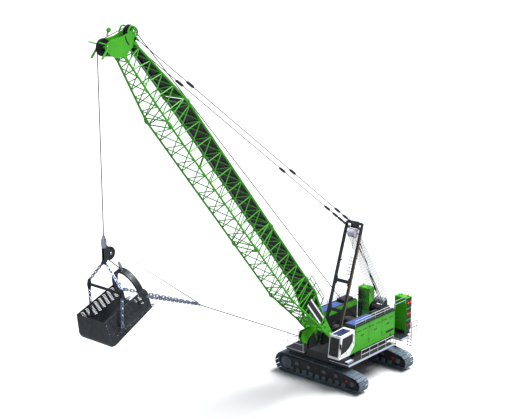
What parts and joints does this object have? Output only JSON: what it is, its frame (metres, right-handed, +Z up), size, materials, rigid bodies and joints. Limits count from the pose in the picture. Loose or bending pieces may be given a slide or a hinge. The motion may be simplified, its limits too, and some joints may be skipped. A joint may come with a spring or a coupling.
{
  "type": "crawler crane",
  "caption": "Duty-cycle crawler crane with a lattice boom, a luffing mast with pendants, and a dragline bucket hanging on chains in front of its drag rope.",
  "frame": {"origin": "on the ground, under the middle of the whole machine; the slewing axis stands at x = -9.6953 m", "axes": "+X along the boom, +Y to the cab side, +Z up"},
  "size_m": [30.2706, 7.8658, 27.2619],
  "materials": {
    "green_paint": "semi-gloss enamel",
    "white_paint": "semi-gloss enamel",
    "dark_steel": "satin enamel",
    "mast_paint": "satin enamel",
    "track_steel": "worn",
    "bucket_steel": "scuffed",
    "chain_steel": "worn",
    "rope_steel": "greased",
    "sheave_iron": "satin",
    "bare_steel": "machined",
    "seat_fabric": "woven"
  },
  "bodies": {
    "undercarriage": {"carbody": "dark_steel", "slew_ring": "bare_steel", "side_frame_near": "dark_steel", "side_frame_far": "dark_steel", "track_near": "track_steel", "track_far": "track_steel", "track_wheels_near": "track_steel", "track_wheels_far": "track_steel"},
    "superstructure": {"main_frame": "dark_steel", "walkways": "dark_steel", "handrails": "bare_steel", "rear_ladder": "dark_steel", "house_left": "green_paint", "house_right": "green_paint", "engine": "dark_steel", "cab": "white_paint", "cab_console": "green_paint", "operator_seat": "seat_fabric", "counterweight_carrier": "dark_steel", "counterweight_left": "green_paint", "counterweight_right": "green_paint", "winch_frame": "dark_steel"},
    "cab_door": {"cab_door": "white_paint"},
    "hoist_drum": {"hoist_drum": "dark_steel"},
    "drag_drum": {"drag_drum": "dark_steel"},
    "luffing_drum": {"luffing_drum": "dark_steel"},
    "boom": {"boom_legs": "green_paint", "boom_foot": "green_paint", "boom_insert_short": "green_paint", "boom_insert_long": "green_paint", "boom_top": "green_paint", "boom_head": "green_paint", "boom_walkway": "dark_steel", "fairlead": "green_paint"},
    "head_sheave": {"head_sheave": "sheave_iron"},
    "rear_sheave": {"rear_sheave": "sheave_iron"},
    "fairlead_sheave_upper": {"fairlead_sheave_upper": "sheave_iron"},
    "fairlead_sheave_lower": {"fairlead_sheave_lower": "sheave_iron"},
    "mast": {"mast": "mast_paint"},
    "mast_sheaves": {"mast_sheaves": "sheave_iron"},
    "pendants": {"pendant_left": "rope_steel", "pendant_right": "rope_steel"},
    "hoist_line": {"hoist_rope": "rope_steel", "hoist_block": "bucket_steel", "upper_chain_left": "chain_steel", "upper_chain_right": "chain_steel", "spreader_bar": "bucket_steel", "lower_chain_left": "chain_steel", "lower_chain_right": "chain_steel"},
    "dump_sheave": {"dump_sheave": "sheave_iron"},
    "bucket": {"bucket": "bucket_steel"},
    "drag_rigging": {"drag_chain_left": "chain_steel", "drag_chain_right": "chain_steel", "drag_socket": "bucket_steel"},
    "house_door_left_1": {"house_door_left_1": "green_paint"},
    "house_door_left_2": {"house_door_left_2": "green_paint"},
    "house_door_left_3": {"house_door_left_3": "green_paint"},
    "house_door_right_1": {"house_door_right_1": "green_paint"},
    "house_door_right_2": {"house_door_right_2": "green_paint"},
    "house_door_right_3": {"house_door_right_3": "green_paint"}
  },
  "joints": [
    {"name": "slew", "type": "hinge", "parent": "undercarriage", "child": "superstructure", "pos_m": [-9.69532, 0, 1.79], "axis": [0, 0, 1], "continuous": true},
    {"name": "luff", "type": "hinge", "parent": "superstructure", "child": "boom", "pos_m": [-6.79532, 0, 3.57], "axis": [0, -1, 0], "range_deg": [-18, 12]},
    {"name": "mast_hinge", "type": "hinge", "parent": "superstructure", "child": "mast", "pos_m": [-8.07532, 0, 3.57], "axis": [0, -1, 0], "range_deg": [-20.67, 14.12]},
    {"name": "pendant_pivot", "type": "hinge", "parent": "boom", "child": "pendants", "pos_m": [11.36228, 0, 26.50224], "axis": [0, -1, 0], "range_deg": [-3, 3]},
    {"name": "hoist_line_pivot", "type": "hinge", "parent": "boom", "child": "hoist_line", "pos_m": [13.43846, 0, 26.148], "axis": [0, -1, 0], "range_deg": [-13, 19]},
    {"name": "bucket_tip", "type": "hinge", "parent": "hoist_line", "child": "bucket", "pos_m": [13.87346, 0, 10.348], "axis": [0, -1, 0], "range_deg": [0, 60]},
    {"name": "drag_pivot", "type": "hinge", "parent": "bucket", "child": "drag_rigging", "pos_m": [11.71736, 0, 11.53983], "axis": [0, -1, 0], "range_deg": [-87, 0.5]},
    {"name": "cab_door_hinge", "type": "hinge", "parent": "superstructure", "child": "cab_door", "pos_m": [-7.56032, 2.3563, 2.47], "axis": [0, 0, 1], "range_deg": [0, 90]},
    {"name": "house_door_left_1_hinge", "type": "hinge", "parent": "superstructure", "child": "house_door_left_1", "pos_m": [-7.92532, 2.2863, 2.76], "axis": [0, 0, -1], "range_deg": [0, 90]},
    {"name": "house_door_left_2_hinge", "type": "hinge", "parent": "superstructure", "child": "house_door_left_2", "pos_m": [-9.58199, 2.2863, 2.76], "axis": [0, 0, -1], "range_deg": [0, 90]},
    {"name": "house_door_left_3_hinge", "type": "hinge", "parent": "superstructure", "child": "house_door_left_3", "pos_m": [-11.23865, 2.2863, 2.76], "axis": [0, 0, -1], "range_deg": [0, 90]},
    {"name": "house_door_right_1_hinge", "type": "hinge", "parent": "superstructure", "child": "house_door_right_1", "pos_m": [-7.92532, -2.2863, 2.76], "axis": [0, 0, 1], "range_deg": [0, 90]},
    {"name": "house_door_right_2_hinge", "type": "hinge", "parent": "superstructure", "child": "house_door_right_2", "pos_m": [-9.58199, -2.2863, 2.76], "axis": [0, 0, 1], "range_deg": [0, 90]},
    {"name": "house_door_right_3_hinge", "type": "hinge", "parent": "superstructure", "child": "house_door_right_3", "pos_m": [-11.23865, -2.2863, 2.76], "axis": [0, 0, 1], "range_deg": [0, 90]},
    {"name": "hoist_drum_spin", "type": "hinge", "parent": "superstructure", "child": "hoist_drum", "pos_m": [-10.69532, 0, 3.35], "axis": [0, 1, 0], "continuous": true},
    {"name": "drag_drum_spin", "type": "hinge", "parent": "superstructure", "child": "drag_drum", "pos_m": [-9.17532, 0, 3.15], "axis": [0, 1, 0], "continuous": true},
    {"name": "luffing_drum_spin", "type": "hinge", "parent": "superstructure", "child": "luffing_drum", "pos_m": [-13.94532, 0, 3.65], "axis": [0, 1, 0], "continuous": true},
    {"name": "head_sheave_spin", "type": "hinge", "parent": "boom", "child": "head_sheave", "pos_m": [13.43846, 0, 26.148], "axis": [0, 1, 0], "continuous": true},
    {"name": "rear_sheave_spin", "type": "hinge", "parent": "boom", "child": "rear_sheave", "pos_m": [11.47171, 0, 26.86696], "axis": [0, 1, 0], "continuous": true},
    {"name": "fairlead_sheave_upper_spin", "type": "hinge", "parent": "boom", "child": "fairlead_sheave_upper", "pos_m": [-4.60781, 0, 4.25717], "axis": [0, 1, 0], "continuous": true},
    {"name": "fairlead_sheave_lower_spin", "type": "hinge", "parent": "boom", "child": "fairlead_sheave_lower", "pos_m": [-4.77922, 0, 3.74784], "axis": [0, 1, 0], "continuous": true},
    {"name": "mast_sheaves_spin", "type": "hinge", "parent": "mast", "child": "mast_sheaves", "pos_m": [-10.45493, 0, 10.4717], "axis": [0, 1, 0], "continuous": true},
    {"name": "dump_sheave_spin", "type": "hinge", "parent": "hoist_line", "child": "dump_sheave", "pos_m": [13.46846, 0, 14.358], "axis": [0, 1, 0], "continuous": true}
  ],
  "couplings": [
    {"joint": "mast_hinge", "follows": "luff", "ratio": 1.0931},
    {"joint": "pendant_pivot", "follows": "luff", "ratio": -0.0476},
    {"joint": "hoist_line_pivot", "follows": "luff", "ratio": -1},
    {"joint": "drag_pivot", "follows": "bucket_tip", "ratio": -1.43}
  ]
}
